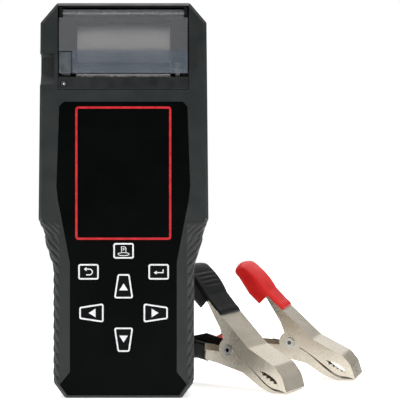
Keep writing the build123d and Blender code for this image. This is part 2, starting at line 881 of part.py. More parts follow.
idler_pitch = 360 / idler_teeth
tooth_lead = (idler_phase + pinion_drop) % idler_pitch
pinion_phase = 180 - pinion_drop - tooth_lead * idler_teeth / pinion_teeth + 180 / pinion_teeth
with BuildPart() as motor_pinion:
    extrude(
        gear_face(gear_near_x, (pinion_y, pinion_z), pinion_teeth, pinion_phase, gear_axle_radius),
        amount=gear_width,
    )
    with BuildSketch(across(motor_right_x + 0.2)):
        with Locations((pinion_y, pinion_z)):
            Circle(gear_axle_radius)
    extrude(amount=gear_near_x + gear_width - motor_right_x)
save("motor_pinion", motor_pinion)

with BuildPart() as idler_axle:
    with BuildSketch(across(motor_right_x)):
        with Locations((idler_y, idler_z)):
            Circle(gear_axle_radius)
    extrude(amount=gear_near_x + gear_width + 0.4 - motor_right_x)
save("idler_axle", idler_axle)

with BuildPart() as stepper_motor:
    with BuildSketch(across(motor_right_x - motor_length)):
        with Locations((pinion_y, pinion_z)):
            Circle(motor_radius)
    extrude(amount=motor_length)
save("stepper_motor", stepper_motor)

with BuildPart() as print_head:
    with BuildSketch(across(-print_head_half)):
        with Locations((print_head_middle_y, print_head_middle_z)):
            Rectangle(print_head_thickness, print_head_high_z - print_head_low_z)
    extrude(amount=2 * print_head_half)
save("print_head", print_head)

with BuildPart() as paper_roll:
    with BuildSketch(across(-roll_half)):
        with Locations((roll_y, roll_z)):
            Circle(roll_radius)
            Circle(core_radius, mode=Mode.SUBTRACT)
    extrude(amount=2 * roll_half)
save("paper_roll", paper_roll)

with BuildPart() as paper_core:
    with BuildSketch(across(-roll_half)):
        with Locations((roll_y, roll_z)):
            Circle(core_radius)
            Circle(core_radius - core_wall, mode=Mode.SUBTRACT)
    extrude(amount=2 * roll_half)
save("paper_core", paper_core)

# The paper runs from the roll, between the platen and the head, to the slot.
nip_y = print_head_front_y - 0.2
nip_z = platen_z + 1.5
away = hypot(nip_y - roll_y, nip_z - roll_z)
leave = atan2(nip_z - roll_z, nip_y - roll_y)
leave_turn = leave - atan2((away**2 - (roll_radius + 0.2) ** 2) ** 0.5, roll_radius + 0.2)
paper_path = [
    (roll_y + (roll_radius + 0.2) * cos(leave_turn), roll_z + (roll_radius + 0.2) * sin(leave_turn)),
    (nip_y, nip_z),
    (nip_y, platen_z - 1.7),
    (nip_y - 1.8, platen_z - platen_radius - 0.45),
    (bar_front_y + 0.4, platen_z - platen_radius - 0.45),
]
with BuildPart() as paper_strip:
    with BuildSketch(across(-roll_half)):
        with BuildLine():
            Polyline(*ribbon(paper_path, 0, paper_thickness), close=True)
        make_face()
    extrude(amount=2 * roll_half)
save("paper_strip", paper_strip)

with BuildPart() as printer_bar:
    with BuildSketch(facing(bar_front_y)):
        with Locations((0, (bay_low_z + bay_gap + bar_top_z) / 2)):
            Rectangle(2 * (bay_half - bay_gap), bar_top_z - bay_low_z - bay_gap)
        with Locations((lamp_x, lamp_z)):
            Circle(lamp_radius + lid_gap, mode=Mode.SUBTRACT)
    extrude(amount=-(frame_front_y - bar_front_y))
save("printer_bar", printer_bar)

with BuildPart() as feed_lamp:
    with BuildSketch(facing(bar_front_y)):
        with Locations((lamp_x, lamp_z)):
            Circle(lamp_radius)
    extrude(amount=-(frame_front_y - bar_front_y))
    with BuildSketch(facing(bar_front_y)):
        with Locations((lamp_x, lamp_z)):
            Circle(lamp_radius - 0.5)
            Circle(0.7, mode=Mode.SUBTRACT)
    extrude(amount=-0.4, mode=Mode.SUBTRACT)
save("feed_lamp", feed_lamp)

with BuildPart() as tear_bar:
    with BuildSketch(Plane.XY.offset(bar_top_z)):
        with Locations((0, frame_front_y - 1.2)):
            Rectangle(2 * tear_half, 2.0)
        tooth_count = int(2 * tear_half / tear_pitch)
        tooth_places = [
            (-tear_half + (i + 0.5) * tear_pitch, frame_front_y - 2.4) for i in range(tooth_count)
        ]
        with Locations(*tooth_places):
            Triangle(a=tear_pitch, b=tear_pitch * 0.8, c=tear_pitch * 0.8, rotation=180)
    extrude(amount=tear_height)
save("tear_bar", tear_bar)

with BuildPart() as latch_lever:
    with BuildSketch(across(lever_left_x)):
        with Locations((lever_front_y + lever_thickness / 2, (lever_pivot_z + lever_high_z) / 2)):
            Rectangle(lever_thickness, lever_high_z - lever_pivot_z)
    extrude(amount=lever_right_x - lever_left_x)
    with BuildSketch(across(lever_left_x + 1.6)):
        with Locations((lever_pivot_y, lever_pivot_z)):
            Circle(lever_hub_radius)
        with Locations(((lever_front_y + lever_pivot_y) / 2, lever_pivot_z + lever_hub_radius / 2)):
            Rectangle(lever_pivot_y - lever_front_y, lever_hub_radius)
    extrude(amount=lever_right_x - lever_left_x - 2.4)
    with BuildSketch(across(lever_left_x)):
        with Locations((lever_pivot_y, lever_pivot_z)):
            Circle(lever_pin_radius + pin_fit)
    extrude(amount=10, mode=Mode.SUBTRACT)
save("latch_lever", latch_lever)

with BuildPart() as latch_pin:
    with BuildSketch(across(-frame_half + 0.2)):
        with Locations((lever_pivot_y, lever_pivot_z)):
            Circle(lever_pin_radius)
    extrude(amount=frame_half + lever_right_x - 1.0)
save("latch_pin", latch_pin)

# ---------------------------------------------------------------- clamps
upper_line = [(handle_u, handle_v), (-14.0, 17.4), (13.0, 10.0), (36.0, 10.6), (43.5, 7.6), (tip_u, 0.9)]
lower_line = [
    (lower_handle_u, -lower_handle_v), (-5.0, -13.5), (16.0, -7.4), (30.0, -8.6), (39.5, -7.0), (tip_u, -0.9)
]
# The biting edges, from the tip back to the rivet.
upper_bite = [
    (tip_u, tip_gap / 2), (45.8, -0.5), (41.0, -2.3), (36.5, -3.0), (31.5, -2.4), (21.0, -0.7), (6.0, 0.6)
]
lower_bite = [
    (tip_u, -tip_gap / 2), (45.8, -2.4), (41.5, -4.2), (37.0, -4.8), (29.0, -3.9), (21.0, -2.1), (6.0, -0.6)
]
upper_inner = [(-27.2, 19.0), (-12.2, 9.7), (-6.0, 4.0)]
lower_inner = [(-18.6, -11.8), (-7.5, -6.5)]


def window_face(plane):
    """The toothed window above the upper jaw's biting edge."""
    teeth = []
    for i in range(window_teeth):
        u = window_start_u - i * window_pitch
        teeth += [(u, window_low_v), (u - window_pitch * 0.35, window_tooth_v)]
    end = (window_start_u - window_teeth * window_pitch, window_end_v)
    with BuildSketch(plane) as face:
        with BuildLine():
            Spline(end, *window_arch, teeth[0])
            Polyline(*teeth, end)
        make_face()
    return face.sketch


def flank_face(plane, line, inner, mouth):
    """One side of a jaw: its outer line, toothed edge, ear round the rivet and inner edge."""
    sign = 1 if line[0][1] > 0 else -1
    handle_edge_v = sign * (abs(line[0][1]) - handle_edge)
    with BuildSketch(plane) as face:
        with BuildLine():
            FilletPolyline(*line, radius=bend_radius)
            Line(line[-1], mouth[0])
            Spline(*mouth)
            Polyline(mouth[-1], *inner[::-1], (line[0][0], handle_edge_v), line[0])
        make_face()
        Circle(ear_radius)
    return face.sketch


def hollow_face(plane, line):
    """The inside of a folded jaw: everything under its web."""
    sign = 1 if line[0][1] > 0 else -1
    far = -sign * 40
    with BuildSketch(plane) as face:
        with BuildLine():
            FilletPolyline(*line, radius=bend_radius)
            Polyline(line[-1], (tip_u, far), (line[0][0], far), line[0])
        make_face()
        offset(amount=-sheet, kind=Kind.INTERSECTION)
    return face.sketch


def handle_region(plane, line, inner, out, end_u):
    """The outline of a handle, grown by out, from its end to end_u."""
    sign = 1 if line[0][1] > 0 else -1
    (u0, v0), (u1, v1) = line[0], line[1]
    slope = (v1 - v0) / (u1 - u0)
    tail_u = u0 - out
    (a0, b0) = (u0, sign * (abs(v0) - handle_edge))
    (a1, b1) = inner[0]
    inner_slope = (b1 - b0) / (a1 - a0)
    with BuildSketch(plane) as region:
        with BuildLine():
            Polyline(
                (tail_u, v0 + slope * (tail_u - u0) + sign * out),
                (end_u, v0 + slope * (end_u - u0) + sign * out),
                (end_u, b0 + inner_slope * (end_u - a0) - sign * out),
                (tail_u, b0 + inner_slope * (tail_u - a0) - sign * out),
                close=True,
            )
        make_face()
    return region.sketch


def make_clamp(tag, pivot, u, side):
    """One battery clamp: two folded steel jaws on a hollow rivet, a return spring and two grips."""
    plane = Plane(origin=pivot, x_dir=u, z_dir=side)
    lower_width = clamp_width - 2 * (sheet + nest_gap)
    halves = (
        ("upper", upper_line, upper_inner, upper_bite, clamp_width, rivet_fit),
        ("lower", lower_line, lower_inner, lower_bite, lower_width, 0.0),
    )
    for half, line, inner, mouth, width, fit in halves:
        back = plane.offset(-width / 2)
        with BuildPart() as jaw:
            extrude(flank_face(back, line, inner, mouth), amount=width)
            extrude(
                hollow_face(plane.offset(-width / 2 + sheet), line),
                amount=width - 2 * sheet,
                mode=Mode.SUBTRACT,
            )
            with BuildSketch(back):
                Circle(rivet_radius + fit)
            extrude(amount=width, mode=Mode.SUBTRACT)
            if half == "upper":
                extrude(window_face(back), amount=width, mode=Mode.SUBTRACT)
        save(f"{tag}_{half}_jaw", jaw)

        reach = width / 2 + grip_clear
        outer = reach + grip_wall
        out = grip_clear + grip_wall
        with BuildPart() as grip:
            extrude(handle_region(plane.offset(-outer), line, inner, out, grip_end_u), amount=2 * outer)
            extrude(
                handle_region(plane.offset(-reach), line, inner, grip_clear, grip_end_u + 1),
                amount=2 * reach,
                mode=Mode.SUBTRACT,
            )
            # Past the skirt only the tongue on the web is left.
            sign = 1 if line[0][1] > 0 else -1
            slope = (line[1][1] - line[0][1]) / (line[1][0] - line[0][0])
            web_v = line[0][1] + slope * (grip_skirt_u - line[0][0]) - sign * sheet / 2
            end_v = line[0][1] + slope * (grip_end_u + 1 - line[0][0]) - sign * sheet / 2
            with BuildSketch(plane.offset(-outer)):
                with BuildLine():
                    Polyline(
                        (grip_skirt_u, web_v),
                        (grip_end_u + 1, end_v),
                        (grip_end_u + 1, -sign * 5),
                        (grip_skirt_u, -sign * 5),
                        close=True,
                    )
                make_face()
            extrude(amount=2 * outer, mode=Mode.SUBTRACT)
        save(f"{tag}_{half}_grip", grip)

    with BuildPart() as rivet:
        head_at = clamp_width / 2 + 0.05
        with BuildSketch(plane.offset(-head_at)):
            Circle(rivet_radius)
        extrude(amount=2 * head_at)
        for start in (-head_at - rivet_head, head_at):
            with BuildSketch(plane.offset(start)):
                Circle(rivet_head_radius)
            extrude(amount=rivet_head)
        with BuildSketch(plane.offset(-head_at - rivet_head)):
            Circle(rivet_bore_radius)
        extrude(amount=2 * (head_at + rivet_head), mode=Mode.SUBTRACT)
    save(f"{tag}_rivet", rivet)

    coil_pitch = 2.2 * coil_wire
    coil_height = coil_turns * coil_pitch
    slopes = []
    for line in (upper_line, lower_line):
        slopes.append(atan2(line[1][1] - line[0][1], line[1][0] - line[0][0]))
    with BuildPart() as spring:
        for i in range(coil_turns):
            w = -coil_height / 2 + (i + 0.5) * coil_pitch
            with BuildSketch(plane.offset(w - coil_wire)):
                Circle(coil_radius + coil_wire)
                Circle(coil_radius - coil_wire, mode=Mode.SUBTRACT)
            extrude(amount=coil_pitch)
        for slope, sign, w in ((slopes[0], 1, 1), (slopes[1], -1, -1)):
            leg = Plane(
                origin=plane.from_local_coords((0, sign * coil_radius, w * (coil_height / 2 - coil_wire))),
                x_dir=plane.z_dir,
                z_dir=plane.from_local_coords((-cos(slope), -sin(slope), 0)) - plane.origin,
            )
            with BuildSketch(leg):
                Circle(coil_wire)
            extrude(amount=coil_leg)
    save(f"{tag}_spring", spring)


make_clamp("black", black_pivot, black_u, black_side)
make_clamp("red", red_pivot, red_u, red_side)
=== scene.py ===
import json
from math import atan2, cos, pi, radians, sin, tan

import bmesh
import bpy
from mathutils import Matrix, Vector


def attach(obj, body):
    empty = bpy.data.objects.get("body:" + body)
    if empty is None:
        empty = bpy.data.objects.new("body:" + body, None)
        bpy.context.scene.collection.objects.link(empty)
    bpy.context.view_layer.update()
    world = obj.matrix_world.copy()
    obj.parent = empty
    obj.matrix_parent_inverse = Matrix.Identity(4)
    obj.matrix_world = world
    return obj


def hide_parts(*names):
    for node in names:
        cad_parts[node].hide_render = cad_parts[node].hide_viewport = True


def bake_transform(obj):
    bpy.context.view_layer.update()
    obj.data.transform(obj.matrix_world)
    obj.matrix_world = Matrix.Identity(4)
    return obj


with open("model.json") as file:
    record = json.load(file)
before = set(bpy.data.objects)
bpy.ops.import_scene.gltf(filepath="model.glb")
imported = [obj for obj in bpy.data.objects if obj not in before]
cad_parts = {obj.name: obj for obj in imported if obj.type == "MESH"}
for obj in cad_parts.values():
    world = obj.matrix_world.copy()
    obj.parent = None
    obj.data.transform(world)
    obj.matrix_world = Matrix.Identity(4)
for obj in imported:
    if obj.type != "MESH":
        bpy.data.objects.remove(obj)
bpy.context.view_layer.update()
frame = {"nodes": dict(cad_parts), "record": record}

MM = 0.001
scene = bpy.context.scene


# ---------------------------------------------------------------- finishes
def tone(red, green, blue):
    """A display colour, 0 to 255, as linear light."""
    parts = [c / 255 for c in (red, green, blue)]
    return [c / 12.92 if c < 0.04045 else ((c + 0.055) / 1.055) ** 2.4 for c in parts] + [1.0]


def noise(tree, place, scale, detail, stretch=None):
    """A noise texture of the object's own space, stretched along its axes if asked."""
    pattern = tree.nodes.new("ShaderNodeTexNoise")
    pattern.inputs["Scale"].default_value = scale
    pattern.inputs["Detail"].default_value = detail
    pattern.inputs["Roughness"].default_value = 0.55
    source = place.outputs["Object"]
    if stretch:
        mapping = tree.nodes.new("ShaderNodeMapping")
        mapping.inputs["Scale"].default_value = stretch
        tree.links.new(source, mapping.inputs["Vector"])
        source = mapping.outputs["Vector"]
    tree.links.new(source, pattern.inputs["Vector"])
    return pattern


def spread(tree, source, low, high, start=0.35, end=0.65):
    """A value between low and high that follows source."""
    ranged = tree.nodes.new("ShaderNodeMapRange")
    ranged.inputs["From Min"].default_value = start
    ranged.inputs["From Max"].default_value = end
    ranged.inputs["To Min"].default_value = low
    ranged.inputs["To Max"].default_value = high
    tree.links.new(source, ranged.inputs["Value"])
    return ranged.outputs["Result"]


def shades(tree, source, colours, start=0.35, end=0.65):
    """A colour ramp over source."""
    ramp = tree.nodes.new("ShaderNodeValToRGB")
    ramp.color_ramp.elements[0].position = start
    ramp.color_ramp.elements[1].position = end
    for i in range(1, len(colours) - 1):
        ramp.color_ramp.elements.new(start + (end - start) * i / (len(colours) - 1))
    for element, colour in zip(ramp.color_ramp.elements, colours):
        element.color = colour
    tree.links.new(source, ramp.inputs["Fac"])
    return ramp.outputs["Color"]


def finish(name, colours, rough, patch=60.0, grain=1500.0, depth=0.02, settings=None,
           stretch=None, grain_stretch=None):
    """A material with patchy colour and roughness; a grain depth millimetres high, if there is one."""
    material = bpy.data.materials.new(name)
    material.use_nodes = True
    tree = material.node_tree
    shader = tree.nodes["Principled BSDF"]
    for socket, value in (settings or {}).items():
        shader.inputs[socket].default_value = value
    place = tree.nodes.new("ShaderNodeTexCoord")
    patches = noise(tree, place, patch, 4.0, stretch)
    tree.links.new(shades(tree, patches.outputs["Fac"], colours), shader.inputs["Base Color"])
    wear = noise(tree, place, patch * 2.7, 5.0, stretch)
    tree.links.new(spread(tree, wear.outputs["Fac"], *rough), shader.inputs["Roughness"])
    if not depth:
        return material
    grains = noise(tree, place, grain, 2.0, grain_stretch)
    bump = tree.nodes.new("ShaderNodeBump")
    bump.inputs["Strength"].default_value = 1.0
    bump.inputs["Distance"].default_value = depth * MM
    tree.links.new(grains.outputs["Fac"], bump.inputs["Height"])
    tree.links.new(bump.outputs["Normal"], shader.inputs["Normal"])
    return material


case_plastic = finish(
    "case_plastic", [tone(10, 16, 16), tone(18, 24, 24), tone(14, 20, 20)], (0.4, 0.54),
    patch=35, grain=1900, depth=0.035, settings={"Specular IOR Level": 0.5},
)
grip_rubber = finish(
    "grip_rubber", [tone(34, 38, 36), tone(46, 50, 47)], (0.4, 0.55),
    patch=120, grain=1400, depth=0.02, settings={"Specular IOR Level": 0.5},
)
overlay_film = finish(
    "overlay_film", [tone(5, 6, 6), tone(8, 9, 9)], (0.16, 0.3),
    patch=22, grain=700, depth=0.004, settings={"Specular IOR Level": 0.03},
)
display_glass = finish(
    "display_glass", [tone(4, 5, 5), tone(6, 7, 7)], (0.08, 0.16),
    patch=18, grain=500, depth=0.002, settings={"Specular IOR Level": 0.03},
)
key_rubber = finish(
    "key_rubber", [tone(9, 10, 10), tone(14, 15, 15)], (0.35, 0.5),
    patch=90, grain=1600, depth=0.012, settings={"Specular IOR Level": 0.06},
)
printed_white = finish(
    "printed_white", [tone(214, 217, 218), tone(236, 238, 239)], (0.35, 0.55),
    patch=420, grain=2400, depth=0.01, settings={"Specular IOR Level": 0.3},
)
printed_red = finish(
    "printed_red", [tone(176, 26, 34), tone(200, 40, 46)], (0.3, 0.45),
    patch=260, grain=2400, depth=0.008, settings={"Specular IOR Level": 0.3},
)
bar_plastic = finish(
    "bar_plastic", [tone(17, 20, 21), tone(26, 29, 30)], (0.32, 0.48),
    patch=70, grain=1500, depth=0.02, settings={"Specular IOR Level": 0.4},
)
lever_plastic = finish(
    "lever_plastic", [tone(62, 67, 71), tone(84, 89, 94)], (0.28, 0.42),
    patch=240, grain=900, depth=0.03, grain_stretch=(5.0, 5.0, 0.35),
    settings={"Specular IOR Level": 0.4},
)
black_plastic = finish(
    "black_plastic", [tone(7, 8, 8), tone(12, 13, 14)], (0.35, 0.5),
    patch=110, grain=1700, depth=0.02, settings={"Specular IOR Level": 0.2},
)
rubber_black = finish(
    "rubber_black", [tone(14, 14, 15), tone(24, 24, 25)], (0.6, 0.75),
    patch=160, grain=1200, depth=0.03, settings={"Specular IOR Level": 0.3},
)
receipt_paper = finish(
    "receipt_paper", [tone(232, 230, 224), tone(243, 242, 238)], (0.75, 0.9),
    patch=300, grain=2600, depth=0.02, stretch=(0.4, 1.0, 6.0), settings={"Specular IOR Level": 0.2},
)
core_card = finish(
    "core_card", [tone(142, 112, 80), tone(166, 134, 98)], (0.8, 0.92),
    patch=400, grain=1800, depth=0.05, settings={"Specular IOR Level": 0.2},
)
board_green = finish(
    "board_green", [tone(18, 66, 42), tone(30, 88, 56)], (0.3, 0.45),
    patch=170, grain=700, depth=0.03, settings={"Specular IOR Level": 0.45},
)
bright_steel = finish(
    "bright_steel", [tone(178, 178, 176), tone(206, 205, 202)], (0.2, 0.34),
    patch=140, grain=900, depth=0.008, grain_stretch=(0.2, 6.0, 6.0), settings={"Metallic": 1.0},
)
screw_steel = finish(
    "screw_steel", [tone(52, 53, 55), tone(78, 79, 81)], (0.3, 0.45),
    patch=300, grain=1500, depth=0.02, settings={"Metallic": 0.9},
)
nickel = finish(
    "nickel", [tone(192, 183, 167), tone(203, 195, 180), tone(197, 188, 172)], (0.24, 0.32),
    patch=30, depth=0.0, settings={"Metallic": 0.7},
)
motor_metal = finish(
    "motor_metal", [tone(150, 150, 148), tone(176, 176, 174)], (0.3, 0.45),
    patch=120, grain=1200, depth=0.02, settings={"Metallic": 0.95},
)
gear_white = finish(
    "gear_white", [tone(214, 214, 206), tone(228, 228, 222)], (0.4, 0.5),
    patch=150, grain=1600, depth=0.01, settings={"Specular IOR Level": 0.4},
)
ceramic_white = finish(
    "ceramic_white", [tone(222, 216, 200), tone(236, 232, 220)], (0.55, 0.7),
    patch=220, grain=1200, depth=0.05, settings={"Specular IOR Level": 0.3},
)
lamp_lens = finish(
    "lamp_lens", [tone(12, 14, 14), tone(20, 23, 22)], (0.12, 0.2),
    patch=300, grain=1600, depth=0.005,
    settings={"Specular IOR Level": 0.6, "Coat Weight": 0.6, "Coat Roughness": 0.1},
)
connector_black = finish(
    "connector_black", [tone(16, 17, 18), tone(26, 27, 29)], (0.35, 0.5),
    patch=150, grain=1500, depth=0.03, settings={"Specular IOR Level": 0.35},
)
grip_black = finish(
    "grip_black", [tone(8, 9, 10), tone(15, 16, 17)], (0.38, 0.52),
    patch=70, grain=1100, depth=0.02, settings={"Specular IOR Level": 0.2},
)
grip_red = finish(
    "grip_red", [tone(186, 12, 14), tone(206, 22, 18), tone(196, 16, 17)], (0.36, 0.5),
    patch=45, grain=1100, depth=0.03,
    settings={"Specular IOR Level": 0.3},
)


def cover_finish():
    """Smoked clear plastic: bluish and finely lined across its lower part, clearer above it, where a
    painted lighter and warmer tint stands in for the paper roll showing through.
    """
    material = finish(
        "smoke_clear", [tone(84, 93, 103), tone(98, 106, 115)], (0.2, 0.3),
        patch=26, depth=0.0, stretch=(3.0, 1.0, 0.15),
        settings={"Specular IOR Level": 0.45, "Alpha": 0.5, "IOR": 1.49},
    )
    tree = material.node_tree
    shader = tree.nodes["Principled BSDF"]
    smoke = shader.inputs["Base Color"].links[0].from_socket
    place = tree.nodes.new("ShaderNodeTexCoord")
    split = tree.nodes.new("ShaderNodeSeparateXYZ")
    tree.links.new(place.outputs["Object"], split.inputs["Vector"])
    lines = tree.nodes.new("ShaderNodeTexWave")
    lines.bands_direction = "Z"
    lines.inputs["Scale"].default_value = 240.0
    lines.inputs["Distortion"].default_value = 1.2
    tree.links.new(place.outputs["Object"], lines.inputs["Vector"])
    clear_band_and_painted_glow = spread(tree, split.outputs["Z"], 0.0, 1.0, 0.2115, 0.2135)
    lined = tree.nodes.new("ShaderNodeMix")
    tree.links.new(clear_band_and_painted_glow, lined.inputs[0])
    tree.links.new(spread(tree, lines.outputs["Fac"], 0.5, 0.62, 0.0, 1.0), lined.inputs[2])
    lined.inputs[3].default_value = 0.38
    tree.links.new(lined.outputs[0], shader.inputs["Alpha"])
    # Painted light: above the line a lighter, warmer grey replaces the smoke colour, standing in for the
    # paper roll seen through the cover; the lower alpha there is the clearer plastic itself.
    painted_roll_glow = tree.nodes.new("ShaderNodeMix")
    painted_roll_glow.data_type = "RGBA"
    tree.links.new(clear_band_and_painted_glow, painted_roll_glow.inputs[0])
    tree.links.new(smoke, painted_roll_glow.inputs[6])
    painted_roll_glow.inputs[7].default_value = tone(112, 113, 116)
    tree.links.new(painted_roll_glow.outputs[2], shader.inputs["Base Color"])
    return material


smoke_clear = cover_finish()

slot_finish = {
    "case_charcoal": case_plastic,
    "grip_rubber": grip_rubber,
    "overlay_black": overlay_film,
    "key_black": key_rubber,
    "display_dark": display_glass,
    "smoke_plastic": smoke_clear,
    "black_plastic": black_plastic,
    "paper": receipt_paper,
    "core_card": core_card,
    "circuit_green": board_green,
    "steel": bright_steel,
    "clamp_nickel": nickel,
    "motor_metal": motor_metal,
    "platen_rubber": rubber_black,
    "gear_white": gear_white,
    "ceramic": ceramic_white,
    "lamp_clear": lamp_lens,
    "grip_black": grip_black,
    "grip_red": grip_red,
    "connector_black": connector_black,
}
node_slot = {entry["node"]: entry["material_slot"] for entry in frame["record"]["subparts"]}
special = {"printer_bar": bar_plastic, "latch_lever": lever_plastic, "case_screws": screw_steel}
for node, obj in frame["nodes"].items():
    material = special.get(node) or slot_finish.get(node_slot.get(node), black_plastic)
    obj.data.materials.clear()
    obj.data.materials.append(material)

# Moulded edges are softened; the meshes themselves stay as they are.
soft_edges = {
    "front_case": 0.35, "back_case": 0.35, "printer_cover": 0.25, "printer_bar": 0.25,
    "latch_lever": 0.25, "printer_frame": 0.2, "front_overlay": 0.12,
    "print_key": 0.15, "back_key": 0.15, "enter_key": 0.15, "up_key": 0.15,
    "down_key": 0.15, "left_key": 0.15, "right_key": 0.15,
}
for node, width in soft_edges.items():
    obj = frame["nodes"][node]
    weld = obj.modifiers.new("weld", "WELD")
    weld.merge_threshold = 0.00002
    bevel = obj.modifiers.new("soft edges", "BEVEL")
    bevel.width = width * MM
    bevel.segments = 3
    bevel.limit_method = "ANGLE"
    bevel.angle_limit = radians(35)
    bevel.harden_normals = False


# ---------------------------------------------------------------- mesh tools
def piece(name, build, body, material, smooth=True):
    """Makes an object from a bmesh builder, and seats it on a body if one is given."""
    mesh = bpy.data.meshes.new(name)
    bm = bmesh.new()
    build(bm)
    bmesh.ops.remove_doubles(bm, verts=bm.verts, dist=1e-7)
    bmesh.ops.recalc_face_normals(bm, faces=bm.faces)
    for face in bm.faces:
        face.smooth = smooth
    bm.to_mesh(mesh)
    bm.free()
    obj = bpy.data.objects.new(name, mesh)
    scene.collection.objects.link(obj)
    mesh.materials.append(material)
    if body:
        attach(obj, body)
    return obj


def rounded(points, radius, steps=5):
    """A closed outline with its corners turned into arcs."""
    out = []
    for i, here in enumerate(points):
        here = Vector(here)
        before = Vector(points[i - 1]) - here
        after = Vector(points[(i + 1) % len(points)]) - here
        half = before.angle(after) / 2
        reach = min(radius / tan(half), 0.48 * before.length, 0.48 * after.length)
        away = reach / cos(half)
        centre = here + (before.normalized() + after.normalized()).normalized() * away
        start = here + before.normalized() * reach - centre
        end = here + after.normalized() * reach - centre
        first = atan2(start.y, start.x)
        turn = (atan2(end.y, end.x) - first + pi) % (2 * pi) - pi
        for k in range(steps + 1):
            angle = first + turn * k / steps
            out.append((centre.x + start.length * cos(angle), centre.y + start.length * sin(angle)))
    return out


def grown(points, amount):
    """A closed outline moved outward by amount, or inward if it is negative."""
    area = sum(a[0] * b[1] - b[0] * a[1] for a, b in zip(points, points[1:] + points[:1]))
    side = 1 if area > 0 else -1
    out = []
    for i, here in enumerate(points):
        here = Vector(here)
        into = (here - Vector(points[i - 1])).normalized()
        away = (Vector(points[(i + 1) % len(points)]) - here).normalized()
        first = Vector((into.y, -into.x)) * side
        second = Vector((away.y, -away.x)) * side
        middle = (first + second).normalized()
        out.append(tuple(here + middle * amount / max(middle.dot(first), 0.2)))
    return out


def facing_point(x, z, y):
    return Vector((x * MM, y * MM, z * MM))


def raised_ring(outer, inner, y_back, y_front, edge=0.04):
    """A builder of a closed strip between two outlines of as many points, facing the front."""
    def build(bm):
        count = len(outer)
        loops = (
            [facing_point(x, z, y_back) for x, z in outer],
            [facing_point(x, z, y_front + edge) for x, z in outer],
            [facing_point(x, z, y_front) for x, z in grown(outer, -edge)],
            [facing_point(x, z, y_front) for x, z in grown(inner, edge)],
            [facing_point(x, z, y_front + edge) for x, z in inner],
            [facing_point(x, z, y_back) for x, z in inner],
        )
        made = [[bm.verts.new(p) for p in loop] for loop in loops]
        for low, high in zip(made, made[1:] + made[:1]):
            for i in range(count):
                j = (i + 1) % count
                bm.faces.new((low[i], low[j], high[j], high[i]))
    return build


def raised_plates(outlines, y_back, y_front, edge=0.03):
    """A builder of solid flat shapes that face the front, with a small bevel."""
    def build(bm):
        for outline in outlines:
            count = len(outline)
            loops = (
                [facing_point(x, z, y_back) for x, z in outline],
                [facing_point(x, z, y_front + edge) for x, z in outline],
                [facing_point(x, z, y_front) for x, z in grown(outline, -edge)],
            )
            made = [[bm.verts.new(p) for p in loop] for loop in loops]
            for low, high in zip(made, made[1:]):
                for i in range(count):
                    j = (i + 1) % count
                    bm.faces.new((low[i], low[j], high[j], high[i]))
            bm.faces.new(made[0])
            bm.faces.new(made[2])
    return build


def stroke(points, width):
    """The outline of a line of points drawn with a pen of that width."""
    left, right = [], []
    for i, here in enumerate(points):
        here = Vector(here)
        before = here - Vector(points[max(i - 1, 0)])
        after = Vector(points[min(i + 1, len(points) - 1)]) - here
        before = before.normalized() if before.length else after.normalized()
        after = after.normalized() if after.length else before
        first = Vector((-before.y, before.x))
        middle = (first + Vector((-after.y, after.x))).normalized()
        out = middle * (width / 2) / max(middle.dot(first), 0.35)
        left.append(tuple(here + out))
        right.append(tuple(here - out))
    return left + right[::-1]


def arc(centre, radius, start, end, steps=10):
    """Points along an arc, in degrees."""
    turns = [radians(start + (end - start) * k / steps) for k in range(steps + 1)]
    return [(centre[0] + radius * cos(t), centre[1] + radius * sin(t)) for t in turns]


# ---------------------------------------------------------------- sizes shared with the CAD part
front_y = -16.0
display_half = 29.3
display_low = 96.7
display_high = 178.1
cap_y = -16.4
print_rise = 0.05
key_corner = 1.6
small_key = (12.9, 9.9)
small_key_x = 21.4
small_key_z = 77.2
print_key_z = 90.0
pad_x = 0.2
pad_z = 52.1
arrow_inner = 6.1
arrow_outer = 3.8
arrow_length = 15.2
arrow_away_z = 8.7
arrow_away_x = 12.0

# ---------------------------------------------------------------- printed display frame
corners = [
    (-display_half, display_low), (display_half, display_low),
    (display_half, display_high), (-display_half, display_high),
]
frame_line = 1.35
piece(
    "display_frame_line",
    raised_ring(rounded(corners, 1.9, 6), rounded(grown(corners, -frame_line), 0.8, 6),
                front_y, front_y - 0.06),
    "tester", printed_red, smooth=False,
)


# ---------------------------------------------------------------- key outlines and signs
def key_box(centre_x, centre_z, width, height):
    x, z = width / 2, height / 2
    return [(centre_x + a, centre_z + b) for a, b in ((-x, -z), (x, -z), (x, z), (-x, z))]


def arrow_cap(turn):
    """The wedge of an arrow key: narrow outside, wide inside, turned in quarter turns."""
    away = arrow_away_z if turn % 2 == 0 else arrow_away_x
    wedge = [
        (-arrow_inner, away), (arrow_inner, away),
        (arrow_outer, away + arrow_length), (-arrow_outer, away + arrow_length),
    ]
    angle = turn * pi / 2
    return [
        (pad_x + x * cos(angle) - z * sin(angle), pad_z + x * sin(angle) + z * cos(angle))
        for x, z in wedge
    ]


def arrow_sign(centre, turn, half=2.65, rise=2.1):
    """A small solid triangle that points away from the pad's middle."""
    angle = turn * pi / 2
    shape = [(-half, -rise), (half, -rise), (0, rise)]
    return [
        (centre[0] + x * cos(angle) - z * sin(angle), centre[1] + x * sin(angle) + z * cos(angle))
        for x, z in shape
    ]


def centre_of(points):
    return (sum(p[0] for p in points) / len(points), sum(p[1] for p in points) / len(points))


